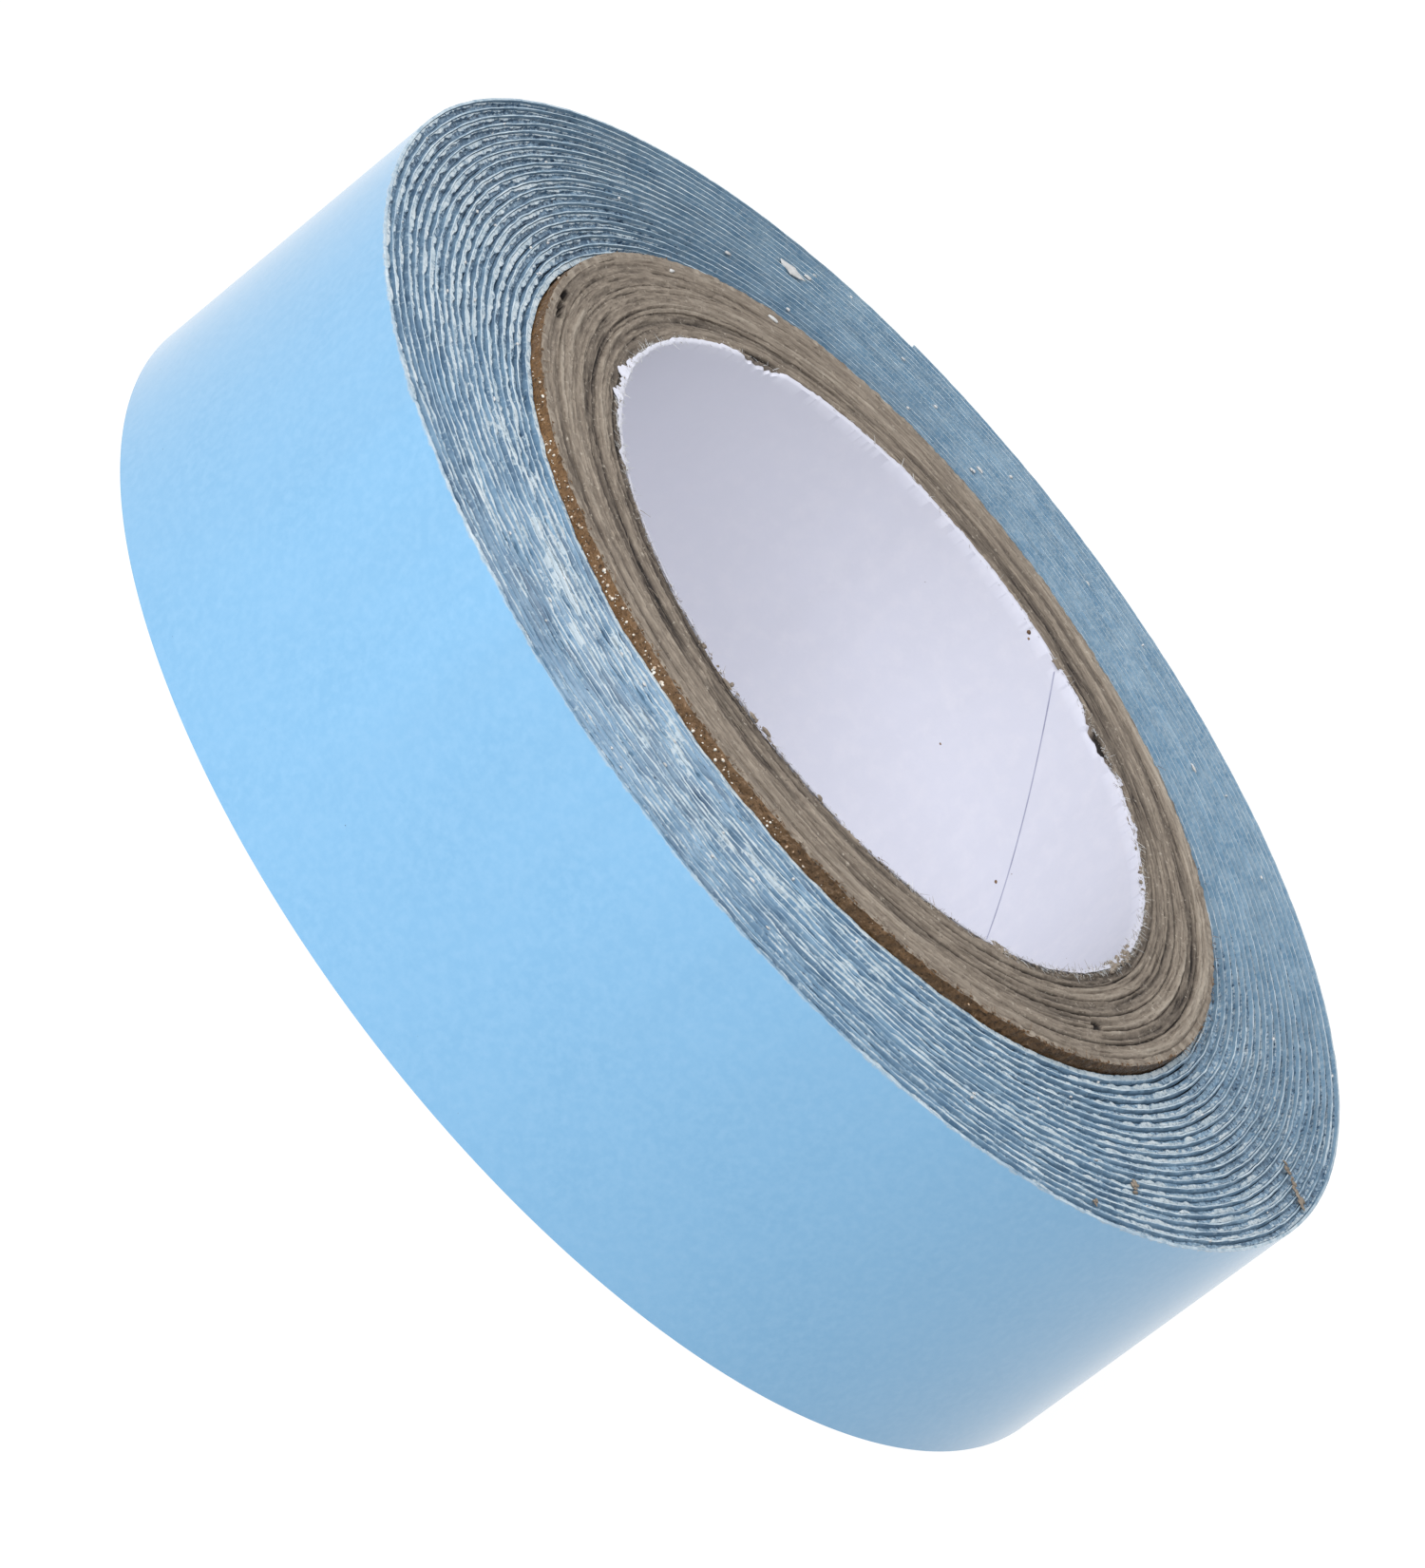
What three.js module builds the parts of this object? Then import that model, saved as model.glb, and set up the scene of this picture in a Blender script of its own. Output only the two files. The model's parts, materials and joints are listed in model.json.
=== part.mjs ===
// Grip tape roll: double-sided adhesive tape with a blue release liner, wound on a short
// paper core. Millimetres, +Z up. The roll lies on its back face: its axis is the Z axis,
// Z = 0 is the face it lies on, and the origin is where the axis meets that face.
import * as THREE from 'three';

// ---------------------------------------------------------------- driving dimensions

const BORE_RADIUS = 12.7;
const CORE_WIDTH = 12.55;
const LINING_THICKNESS = 0.12;
const BOARD_PLIES = 6;
const BOARD_THICKNESS = 0.56;
const KRAFT_THICKNESS = 0.28;

const TAPE_WIDTH = 12.1;
const ADHESIVE_THICKNESS = 0.21;
const LINER_THICKNESS = 0.1;

// Clearance between one layer and the next, and between the pieces that a strip is cut into.
const LAYER_GAP = 0.01;
const CUT_GAP = 0.03;

// The strips are wound anticlockwise, seen from above, in flat facets. Both strips and the
// core's plies have their corners at the same angles, so that they nest without touching.
const FACETS_PER_TURN = 36;
const WOUND_FACETS = 720;
const INNER_END_ANGLE = Math.PI / 18;

// The free end: the last stretch of both strips, in short pieces that bend at their joints.
const END_PIECES = 5;
const FACETS_PER_END_PIECE = 2;
const LINER_TAB_FACETS = 1;

// ---------------------------------------------------------------- worked out from them

const FACET_ANGLE = (2 * Math.PI) / FACETS_PER_TURN;
const BOARD_START = BORE_RADIUS + LINING_THICKNESS + LAYER_GAP;
const BOARD_STEP = BOARD_THICKNESS + LAYER_GAP;
const KRAFT_START = BOARD_START + BOARD_PLIES * BOARD_STEP;
const TAPE_START = KRAFT_START + KRAFT_THICKNESS + 2 * LAYER_GAP;
const LINER_OFFSET = ADHESIVE_THICKNESS + LAYER_GAP;
const WRAP_PITCH = LINER_OFFSET + LINER_THICKNESS + LAYER_GAP;

// ---------------------------------------------------------------- materials

function matte(color, roughness) {
  return new THREE.MeshStandardMaterial({ color, roughness, metalness: 0 });
}

const whitePaper = matte(0xd8dbea, 0.9);
const greyBoard = matte(0x7c7064, 0.95);
const kraftPaper = matte(0x8a6238, 0.85);
const adhesiveTissue = matte(0xc3cfd8, 0.6);
const blueLiner = matte(0x9fcdf2, 0.45);

// ---------------------------------------------------------------- shapes

function piece(name, geometry, material) {
  const mesh = new THREE.Mesh(geometry, material);
  mesh.name = name;
  return mesh;
}

// One ply of the core: a closed tube standing on Z = 0.
function ply(name, innerRadius, thickness, material) {
  const outerRadius = innerRadius + thickness;
  const section = [
    new THREE.Vector2(innerRadius, 0),
    new THREE.Vector2(outerRadius, 0),
    new THREE.Vector2(outerRadius, CORE_WIDTH),
    new THREE.Vector2(innerRadius, CORE_WIDTH),
    new THREE.Vector2(innerRadius, 0),
  ];
  const tube = new THREE.LatheGeometry(section, FACETS_PER_TURN);
  tube.rotateX(Math.PI / 2);
  return piece(name, tube, material);
}

// A point of the winding, at a place along the strip counted in facets from its inner end.
function windingPoint(facet, offset) {
  const angle = INNER_END_ANGLE + facet * FACET_ANGLE;
  const radius = TAPE_START + (WRAP_PITCH * facet) / FACETS_PER_TURN + offset;
  return new THREE.Vector2(radius * Math.cos(angle), radius * Math.sin(angle));
}

// The corners of a stretch of strip: its two ends, and each facet corner between them.
function stretchCorners(start, end) {
  const corners = [start];
  for (let facet = Math.floor(start) + 1; facet < end; facet += 1) {
    corners.push(facet);
  }
  corners.push(end);
  return corners;
}

// A stretch of strip, drawn from above as a thin spiral band and raised to the tape's width.
// A cut end stands back by half the cut's clearance.
function strip(name, start, end, offset, thickness, material) {
  const outermost = TAPE_START + (WRAP_PITCH * end) / FACETS_PER_TURN;
  const halfCut = CUT_GAP / 2 / outermost / FACET_ANGLE;
  const corners = stretchCorners(start > 0 ? start + halfCut : start, end - halfCut);
  const outerEdge = corners.map((facet) => windingPoint(facet, offset + thickness));
  const innerEdge = corners.map((facet) => windingPoint(facet, offset)).reverse();
  const band = new THREE.Shape([...outerEdge, ...innerEdge]);
  const solid = new THREE.ExtrudeGeometry(band, { depth: TAPE_WIDTH, bevelEnabled: false });
  return piece(name, solid, material);
}

function adhesiveStrip(name, start, end) {
  return strip(name, start, end, 0, ADHESIVE_THICKNESS, adhesiveTissue);
}

function linerStrip(name, start, end) {
  return strip(name, start, end, LINER_OFFSET, LINER_THICKNESS, blueLiner);
}

// ---------------------------------------------------------------- sub-assemblies

// The core: a white lining in the bore, grey board plies, and kraft paper on the outside.
function buildCore() {
  const core = new THREE.Group();
  core.add(ply('bore_lining', BORE_RADIUS, LINING_THICKNESS, whitePaper));
  for (let index = 0; index < BOARD_PLIES; index += 1) {
    const start = BOARD_START + index * BOARD_STEP;
    core.add(ply(`core_ply_${index + 1}`, start, BOARD_THICKNESS, greyBoard));
  }
  core.add(ply('kraft_ply', KRAFT_START, KRAFT_THICKNESS, kraftPaper));
  return core;
}

// The wound part of the two strips: the adhesive tape, with its liner on the outside.
function buildWinding() {
  const winding = new THREE.Group();
  winding.add(adhesiveStrip('adhesive_tape', 0, WOUND_FACETS));
  winding.add(linerStrip('release_liner', 0, WOUND_FACETS));
  return winding;
}

// The free end, piece by piece. The liner's last facet is a tab that lifts off the adhesive.
function buildFreeEnd() {
  const freeEnd = new THREE.Group();
  for (let index = 0; index < END_PIECES; index += 1) {
    const start = WOUND_FACETS + index * FACETS_PER_END_PIECE;
    const end = start + FACETS_PER_END_PIECE;
    const isLast = index === END_PIECES - 1;
    const linerEnd = isLast ? end - LINER_TAB_FACETS : end;
    freeEnd.add(adhesiveStrip(`adhesive_end_${index + 1}`, start, end));
    freeEnd.add(linerStrip(`liner_end_${index + 1}`, start, linerEnd));
    if (isLast) {
      freeEnd.add(linerStrip('liner_tab', linerEnd, end));
    }
  }
  return freeEnd;
}

const gripTapeRoll = new THREE.Group();
gripTapeRoll.add(buildCore());
gripTapeRoll.add(buildWinding());
gripTapeRoll.add(buildFreeEnd());

export default gripTapeRoll;
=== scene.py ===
"""Grip tape roll: double-sided tape with a blue release liner, wound on a grey board core.

The looks of the roll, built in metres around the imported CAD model. Angles round the roll are
measured from +X towards +Y. The strips are followed in turns, counted from their inner end.
"""
import json
import math

import bpy
import numpy as np
from mathutils import Matrix, Vector


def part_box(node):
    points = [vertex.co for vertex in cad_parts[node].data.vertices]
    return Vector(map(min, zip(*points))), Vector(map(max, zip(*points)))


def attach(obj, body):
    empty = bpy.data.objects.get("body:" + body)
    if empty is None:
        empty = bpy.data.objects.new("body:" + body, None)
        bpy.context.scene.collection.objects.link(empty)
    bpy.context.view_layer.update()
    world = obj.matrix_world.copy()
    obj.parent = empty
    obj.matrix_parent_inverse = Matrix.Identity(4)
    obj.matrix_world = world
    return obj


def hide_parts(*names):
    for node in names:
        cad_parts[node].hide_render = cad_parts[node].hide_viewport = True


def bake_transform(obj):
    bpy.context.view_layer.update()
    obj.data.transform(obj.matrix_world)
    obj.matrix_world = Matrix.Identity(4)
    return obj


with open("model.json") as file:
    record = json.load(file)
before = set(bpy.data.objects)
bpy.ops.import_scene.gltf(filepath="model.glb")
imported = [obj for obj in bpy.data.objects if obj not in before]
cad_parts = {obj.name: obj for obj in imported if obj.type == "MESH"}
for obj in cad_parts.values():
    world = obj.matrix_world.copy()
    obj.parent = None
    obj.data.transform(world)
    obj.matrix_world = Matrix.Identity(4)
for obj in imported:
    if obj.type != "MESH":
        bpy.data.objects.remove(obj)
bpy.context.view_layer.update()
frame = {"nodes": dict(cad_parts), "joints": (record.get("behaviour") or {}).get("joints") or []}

MM = 0.001
FULL_TURN = 2 * math.pi


# ---------- measures from the CAD model

def node_radii(node):
    """The smallest and largest distance of a CAD node's vertices from the roll's axis."""
    points = np.array([vertex.co for vertex in frame["nodes"][node].data.vertices])
    distance = np.hypot(points[:, 0], points[:, 1])
    return distance.min(), distance.max()


def joint_angle(name):
    """The angle round the roll at which a joint's axis stands."""
    joint = next(j for j in frame["joints"] if j["name"] == name)
    return math.atan2(joint["pos_m"][1], joint["pos_m"][0])


BOARD_PLIES = 6
END_PIECES = 5
WOUND_TURNS = 20
LAYER_GAP = 0.01 * MM

CORE_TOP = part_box("core_ply_1")[1].z
TAPE_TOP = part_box("release_liner")[1].z

TAPE_START = node_radii("adhesive_tape")[0]
WRAP_PITCH = (node_radii("adhesive_end_1")[0] - TAPE_START) / WOUND_TURNS
LINER_OFFSET = node_radii("liner_end_1")[0] - node_radii("adhesive_end_1")[0]
ADHESIVE_THICKNESS = LINER_OFFSET - LAYER_GAP
LINER_THICKNESS = WRAP_PITCH - LINER_OFFSET - LAYER_GAP

START_ANGLE = joint_angle("peel_1")
END_PIECE_TURNS = (joint_angle("peel_2") - joint_angle("peel_1")) / FULL_TURN
TAB_START = WOUND_TURNS + (joint_angle("liner_lift") - START_ANGLE) / FULL_TURN
STRIP_END = WOUND_TURNS + END_PIECES * END_PIECE_TURNS


# ---------- noise

# Noise along a line repeats after this many random values.
NOISE_PERIOD = 8191


def eased(share):
    """A share from 0 to 1, made to start and end gently."""
    return share * share * (3 - 2 * share)


def between(first, second, share):
    """Goes gently from first to second as share goes from 0 to 1."""
    ease = eased(share)
    return first * (1 - ease) + second * ease


def noise_along(position, seed, period=NOISE_PERIOD):
    """Smooth noise from -1 to 1, with one random value at each whole number of position."""
    values = np.random.default_rng(seed).uniform(-1, 1, period)
    whole = np.floor(position).astype(int)
    return between(values[whole % period], values[(whole + 1) % period], position - whole)


def noise_round(angle, count, seed):
    """Noise with count random values round the roll, that joins up with itself."""
    return noise_along(angle / FULL_TURN * count, seed, count)


def noise_over_ring(angle, row, count, rows, seed):
    """Noise over a ring: count random values round it, and rows values across it."""
    values = np.random.default_rng(seed).uniform(-1, 1, (rows + 2, count))
    across = np.clip(row, 0, rows)
    whole_row = np.floor(across).astype(int)
    along = angle / FULL_TURN * count
    whole = np.floor(along).astype(int)
    left, right = whole % count, (whole + 1) % count
    low = between(values[whole_row, left], values[whole_row, right], along - whole)
    high = between(values[whole_row + 1, left], values[whole_row + 1, right], along - whole)
    return between(low, high, across - whole_row)


def hump(value, centre, half_width):
    """1 at the centre, easing to 0 at half_width from it."""
    return eased(np.clip(1 - np.abs(value - centre) / half_width, 0, 1))


def angle_hump(angle, centre_degrees, half_width_degrees):
    """A hump round the roll, which knows that 0 and 360 degrees are the same place."""
    away = (np.degrees(angle) - centre_degrees + 180) % 360 - 180
    return hump(away, 0, half_width_degrees)


# ---------- meshes

# Two faces that turn more than this from each other meet in a sharp edge.
SHARP_ANGLE = math.radians(50)


def sweep(name, points, closed, materials, edge_materials=None):
    """A piece made of one cross-section after another. points is sections x corners x 3.

    Each section goes anticlockwise, as seen with the radius to the right and Z up.
    edge_materials gives each side of the section the number of its material.
    """
    sections, corners = points.shape[:2]
    index = np.arange(sections * corners).reshape(sections, corners)
    behind = index if closed else index[:-1]
    ahead = np.roll(index, -1, axis=0) if closed else index[1:]
    next_behind = np.roll(behind, -1, axis=1)
    next_ahead = np.roll(ahead, -1, axis=1)
    faces = np.stack([behind, ahead, next_ahead, next_behind], axis=-1).reshape(-1, 4).tolist()
    if not closed:
        faces.append(index[0].tolist())
        faces.append(index[-1][::-1].tolist())

    mesh = bpy.data.meshes.new(name)
    mesh.from_pydata(points.reshape(-1, 3).tolist(), [], faces)
    if edge_materials is not None:
        numbers = np.tile(edge_materials, len(behind))
        if not closed:
            numbers = np.append(numbers, [edge_materials[0]] * 2)
        mesh.polygons.foreach_set("material_index", numbers.astype(np.int32))
    return finish_mesh(name, mesh, materials)


def finish_mesh(name, mesh, materials):
    """Gives a mesh its materials and shading, and makes it an object of the scene."""
    for material in materials:
        mesh.materials.append(material)
    mesh.shade_smooth()
    mesh.set_sharp_from_angle(angle=SHARP_ANGLE)
    mesh.update()
    piece = bpy.data.objects.new(name, mesh)
    bpy.context.scene.collection.objects.link(piece)
    return piece


def give_attribute(piece, name, values):
    """Stores a number or a vector at every vertex, for the materials to read."""
    kind, field = ("FLOAT", "value") if values.ndim == 1 else ("FLOAT_VECTOR", "vector")
    stored = piece.data.attributes.new(name, kind, "POINT")
    stored.data.foreach_set(field, np.ascontiguousarray(values, np.float32).ravel())


def columns(places, values):
    """An array with a row for each place and a column for each value, which is a number or an
    array with a row for each place."""
    return np.concatenate([0 * places + value for value in values], axis=1)


def section_points(angle, radii, heights):
    """The points of a sweep round the roll: at each angle, corners at the radii and heights."""
    radii = columns(angle, radii)
    return np.stack([radii * np.cos(angle), radii * np.sin(angle), columns(angle, heights)], axis=-1)


# ---------- materials

def new_material(name):
    """A material, its shader, and the place on the roll in mm as an output."""
    material = bpy.data.materials.new(name)
    material.use_nodes = True
    nodes = material.node_tree.nodes
    nodes.clear()
    shader = nodes.new("ShaderNodeBsdfPrincipled")
    new_node(shader, "ShaderNodeOutputMaterial", {"Surface": shader.outputs["BSDF"]})
    return material, shader, attribute(shader, "place", "Vector")


def set_inputs(node, inputs):
    """Sets inputs of a node, given by name or number. An output is linked to its input, and
    anything else becomes the input's value."""
    for key, value in inputs.items():
        if isinstance(value, bpy.types.NodeSocket):
            node.id_data.links.new(value, node.inputs[key])
        else:
            node.inputs[key].default_value = value


def new_node(neighbour, kind, inputs):
    """A node in the same tree as its neighbour, which is a node or an output."""
    node = neighbour.id_data.nodes.new(kind)
    set_inputs(node, inputs)
    return node


def attribute(neighbour, name, output="Fac"):
    """What a mesh stores under a name at its vertices: a number, or a vector."""
    node = new_node(neighbour, "ShaderNodeAttribute", {})
    node.attribute_name = name
    return node.outputs[output]


def stretched(vector, scale):
    node = new_node(vector, "ShaderNodeVectorMath", {0: vector, 1: scale})
    node.operation = "MULTIPLY"
    return node.outputs[0]


def noise(vector, scale, detail=3.0, roughness=0.55):
    inputs = {"Vector": vector, "Scale": scale, "Detail": detail, "Roughness": roughness}
    return new_node(vector, "ShaderNodeTexNoise", inputs).outputs["Fac"]


def ramp(value, low, high, to_low=0.0, to_high=1.0):
    """Maps value from low..high to to_low..to_high, and stops at the ends."""
    inputs = {"Value": value, "From Min": low, "From Max": high, "To Min": to_low, "To Max": to_high}
    return new_node(value, "ShaderNodeMapRange", inputs).outputs["Result"]


def mixed(factor, first, second):
    """first where factor is 0, second where it is 1. Each is a colour or a colour output."""
    node = new_node(factor, "ShaderNodeMix", {})
    node.data_type = "RGBA"
    first, second = (c + (1.0,) if isinstance(c, tuple) else c for c in (first, second))
    set_inputs(node, {"Factor": factor, "A": first, "B": second})
    return node.outputs["Result"]


def sum_of(first, second):
    return new_node(first, "ShaderNodeMath", {0: first, 1: second}).outputs[0]


def painted(shader, colour, roughness):
    """Gives the shader its colour and roughness, each an output."""
    set_inputs(shader, {"Base Color": colour, "Roughness": roughness})


def bumped(shader, height, depth, strength=1.0):
    """Bumps the shader by a height output from 0 to 1, depth deep in metres."""
    inputs = {"Strength": strength, "Distance": depth, "Height": height}
    set_inputs(shader, {"Normal": new_node(shader, "ShaderNodeBump", inputs).outputs["Normal"]})


def liner_face_material():
    """The clean outside of the release liner: satin blue paper with a fine pale mottle."""
    material, shader, place = new_material("blue_liner_face")
    cloud = ramp(noise(place, 0.30, 2.0), 0.3, 0.7)
    mottle = ramp(noise(place, 3.2, 5.0, 0.65), 0.40, 0.70)
    speck = ramp(noise(place, 4.0, 1.0), 0.83, 0.86)
    colour = mixed(cloud, (0.164, 0.368, 0.582), (0.175, 0.381, 0.596))
    colour = mixed(mottle, colour, (0.199, 0.401, 0.611))
    colour = mixed(speck, colour, (0.074, 0.142, 0.224))
    scuff = noise(place, 2.4, 4.0, 0.7)
    near_edge = ramp(attribute(shader, "below_top"), 0.0, 0.22, 0.62, 0.05)
    worn = sum_of(near_edge, scuff)
    colour = mixed(ramp(worn, 0.90, 1.10), colour, (0.313, 0.417, 0.507))
    fibre = noise(place, 6.0, 4.0, 0.6)
    painted(shader, colour, ramp(fibre, 0.3, 0.7, 0.36, 0.46))
    bumped(shader, fibre, 0.003 * MM, 0.5)
    set_inputs(shader, {"Specular IOR Level": 0.0, "Coat Weight": 1.0, "Coat Roughness": 0.18})
    return material


def liner_edge_material():
    """The inward side of the liner beside its cut edge."""
    material, shader, place = new_material("blue_liner_side")
    patch = ramp(noise(place, 0.9, 3.0), 0.35, 0.68)
    streak = ramp(noise(place, 5.0, 4.0, 0.65), 0.45, 0.75)
    colour = mixed(patch, (0.151, 0.270, 0.389), (0.238, 0.360, 0.468))
    colour = mixed(streak, colour, (0.338, 0.439, 0.518))
    painted(shader, colour, ramp(streak, 0.0, 1.0, 0.45, 0.7))
    bumped(shader, streak, 0.008 * MM, 0.6)
    return material


def liner_groove_material():
    """The outward side of the liner beside its cut edge, painted dark as the shade down in the gap."""
    material, shader, place = new_material("blue_liner_groove_shade")
    patch = ramp(noise(place, 1.2, 4.0, 0.6), 0.35, 0.68)
    streak = ramp(noise(place, 5.0, 4.0, 0.65), 0.56, 0.70)
    blotch = ramp(noise(place, 2.2, 4.0, 0.7), 0.3, 0.7)
    # Painted shade: both colours are dark navy for the shade down in the gap, the darker where the
    # gap's shade is strongest.
    gap_shaded = mixed(patch, (0.050, 0.100, 0.168), (0.120, 0.202, 0.290))
    clean = mixed(patch, (0.094, 0.188, 0.298), (0.175, 0.290, 0.405))
    colour = mixed(attribute(shader, "stain_and_gap_shade"), clean, gap_shaded)
    colour = mixed(streak, colour, (0.300, 0.395, 0.470))
    smeared = ramp(sum_of(attribute(shader, "smear"), blotch), 1.02, 1.16)
    colour = mixed(smeared, colour, (0.345, 0.422, 0.480))
    painted(shader, colour, ramp(streak, 0.0, 1.0, 0.4, 0.7))
    bumped(shader, streak, 0.008 * MM, 0.6)
    return material


def liner_cut_material():
    """The liner's cut edge: pale paper, bluer where the blade left it clean."""
    material, shader, place = new_material("blue_liner_cut")
    patch = ramp(noise(place, 2.2, 4.0, 0.65), 0.36, 0.56)
    torn = mixed(patch, (0.290, 0.402, 0.492), (0.536, 0.622, 0.678))
    clean = mixed(patch, (0.090, 0.182, 0.290), (0.205, 0.318, 0.430))
    colour = mixed(attribute(shader, "pale"), clean, torn)
    painted(shader, colour, ramp(patch, 0.0, 1.0, 0.55, 0.75))
    bumped(shader, noise(place, 9.0, 3.0), 0.008 * MM, 0.7)
    return material


def adhesive_material():
    """Tissue and adhesive: pale where it is torn, dark blue-grey where the adhesive is clear."""
    material, shader, place = new_material("adhesive_tissue")
    jags = ramp(noise(place, 4.6, 3.0, 0.6), 0.34, 0.66, -1.5, 1.5)
    torn = ramp(sum_of(attribute(shader, "torn"), jags), -0.06, 0.12)
    patch = ramp(noise(place, 1.3, 4.0, 0.6), 0.35, 0.65)
    wet = noise(place, 6.5, 4.0, 0.65)
    gap_shaded = mixed(patch, (0.052, 0.104, 0.172), (0.135, 0.216, 0.304))
    clear = mixed(patch, (0.134, 0.236, 0.345), (0.212, 0.326, 0.432))
    # Painted shade: the clear adhesive is darker in the gaps between the wraps.
    clear = mixed(attribute(shader, "stain_and_gap_shade"), clear, gap_shaded)
    clear = mixed(ramp(wet, 0.52, 0.62), clear, (0.300, 0.400, 0.490))
    clear = mixed(ramp(wet, 0.43, 0.40), clear, (0.018, 0.042, 0.086))
    pale = mixed(patch, (0.370, 0.458, 0.515), (0.535, 0.590, 0.622))
    pale = mixed(ramp(wet, 0.50, 0.36), pale, (0.226, 0.306, 0.378))
    grit = noise(place, 2.6, 5.0, 0.75)
    pale = mixed(ramp(grit, 0.44, 0.36), pale, (0.150, 0.222, 0.298))
    colour = mixed(torn, clear, pale)
    painted(shader, colour, ramp(wet, 0.35, 0.65, 0.35, 0.65))
    bumped(shader, wet, 0.020 * MM, 0.8)
    return material


def board_material():
    """Grey-brown board with fibres and streaks that follow the winding of its plies."""
    material, shader, place = new_material("grey_board")
    grain = attribute(shader, "grain", "Vector")
    tone_and_painted_light = attribute(shader, "tone_and_painted_light")
    streak = noise(grain, 1.0, 4.0, 0.65)
    fleck = ramp(noise(place, 4.5, 4.0, 0.7), 0.60, 0.74)
    pore = ramp(noise(place, 6.5, 3.0, 0.7), 0.34, 0.26)
    colour = mixed(ramp(streak, 0.3, 0.7), (0.116, 0.091, 0.070), (0.278, 0.235, 0.190))
    # Painted shade: darker where the cut end lies lower, in the grooves, pits and ply edges, near
    # black in the deepest pits; lighter where it stands higher.
    colour = mixed(ramp(tone_and_painted_light, 0.0, 0.45, 1.0, 0.0), colour, (0.019, 0.012, 0.009))
    colour = mixed(ramp(tone_and_painted_light, 0.55, 1.0), colour, (0.390, 0.343, 0.285))
    colour = mixed(fleck, colour, (0.406, 0.363, 0.308))
    colour = mixed(pore, colour, (0.047, 0.035, 0.027))
    colour = mixed(ramp(tone_and_painted_light, 0.0, 0.06, 0.95, 0.0), colour, (0.006, 0.004, 0.003))
    painted(shader, colour, ramp(streak, 0.3, 0.7, 0.75, 0.95))
    bumped(shader, noise(place, 9.0, 4.0, 0.65), 0.03 * MM, 0.8)
    return material


def kraft_material():
    """Orange-brown kraft paper, rough with dried adhesive."""
    material, shader, place = new_material("kraft_paper")
    patch = noise(place, 1.6, 4.0, 0.65)
    grit = noise(place, 8.0, 4.0, 0.7)
    colour = mixed(ramp(patch, 0.3, 0.7), (0.124, 0.060, 0.020), (0.236, 0.127, 0.051))
    # Darker where this value is low, which on the wall is round the roll away from 225 degrees.
    darkening = ramp(attribute(shader, "tone_and_painted_light"), 0.0, 1.0, 0.75, 0.0)
    colour = mixed(darkening, colour, (0.070, 0.043, 0.022))
    colour = mixed(ramp(grit, 0.46, 0.34), colour, (0.037, 0.019, 0.007))
    colour = mixed(ramp(grit, 0.58, 0.72), colour, (0.347, 0.229, 0.136))
    painted(shader, colour, ramp(grit, 0.4, 0.6, 0.7, 0.25))
    bumped(shader, grit, 0.06 * MM, 1.0)
    return material


def glue_bead_material():
    """Dried beads of glossy adhesive, pale partly in colour and partly as painted highlight for their
    glints.
    """
    material, shader, place = new_material("glue_bead_and_glint")
    patch = ramp(noise(place, 3.0, 2.0), 0.4, 0.6)
    colour = mixed(patch, (0.408, 0.281, 0.178), (0.765, 0.731, 0.663))
    painted(shader, colour, ramp(patch, 0.0, 1.0, 0.12, 0.3))
    bumped(shader, noise(place, 14.0, 2.0), 0.006 * MM, 0.5)
    set_inputs(shader, {"Coat Weight": 0.6, "Coat Roughness": 0.08})
    return material


def white_paper_material():
    """The bore's lining: smooth white paper with a lavender cast."""
    material, shader, place = new_material("white_paper")
    streak = noise(stretched(place, (1.0, 1.0, 0.15)), 0.8, 3.0)
    mottle = noise(place, 1.5, 4.0, 0.6)
    stain_and_gap_shade = ramp(noise(place, 0.9, 3.0, 0.7), 0.77, 0.82)
    colour = mixed(ramp(streak, 0.25, 0.75), (0.492, 0.500, 0.580), (0.506, 0.514, 0.596))
    colour = mixed(ramp(mottle, 0.45, 0.75), colour, (0.528, 0.531, 0.604))
    # Painted light: the lining is paler round 180 degrees, for the light the real bore gets there.
    colour = mixed(ramp(attribute(shader, "tone_and_painted_light"), 0.5, 1.0), colour, (0.690, 0.700, 0.795))
    colour = mixed(stain_and_gap_shade, colour, (0.390, 0.360, 0.352))
    fibre = noise(place, 7.0, 4.0, 0.65)
    painted(shader, colour, ramp(fibre, 0.3, 0.7, 0.62, 0.8))
    bumped(shader, fibre, 0.006 * MM, 0.6)
    return material


def seam_material():
    """The shaded line where two edges of the lining meet."""
    material, shader, place = new_material("lining_seam")
    patch = ramp(noise(place, 0.7, 3.0), 0.35, 0.65)
    colour = mixed(patch, (0.215, 0.222, 0.315), (0.330, 0.340, 0.440))
    painted(shader, colour, ramp(patch, 0.0, 1.0, 0.8, 0.95))
    bumped(shader, noise(place, 9.0, 3.0), 0.004 * MM, 0.5)
    return material


def loose_paper_material():
    """Pale chips and fibres of paper that lie on the roll."""
    material, shader, place = new_material("loose_paper")
    patch = ramp(noise(place, 3.0, 3.0), 0.35, 0.65)
    colour = mixed(patch, (0.426, 0.433, 0.433), (0.593, 0.600, 0.608))
    painted(shader, colour, ramp(patch, 0.0, 1.0, 0.7, 0.9))
    bumped(shader, noise(place, 12.0, 3.0), 0.010 * MM, 0.7)
    return material


LINER_FACE = liner_face_material()
LINER_EDGE = liner_edge_material()
LINER_GROOVE_SHADE = liner_groove_material()
LINER_CUT = liner_cut_material()
ADHESIVE = adhesive_material()
BOARD = board_material()
KRAFT = kraft_material()
GLUE_BEAD = glue_bead_material()
WHITE_PAPER = white_paper_material()
SEAM = seam_material()
LOOSE_PAPER = loose_paper_material()


# ---------- the core

RING_SECTIONS = 1440
RING_ANGLES = np.arange(RING_SECTIONS)[:, None] / RING_SECTIONS * FULL_TURN
BOARD_INNER = node_radii("core_ply_1")[0]

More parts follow.
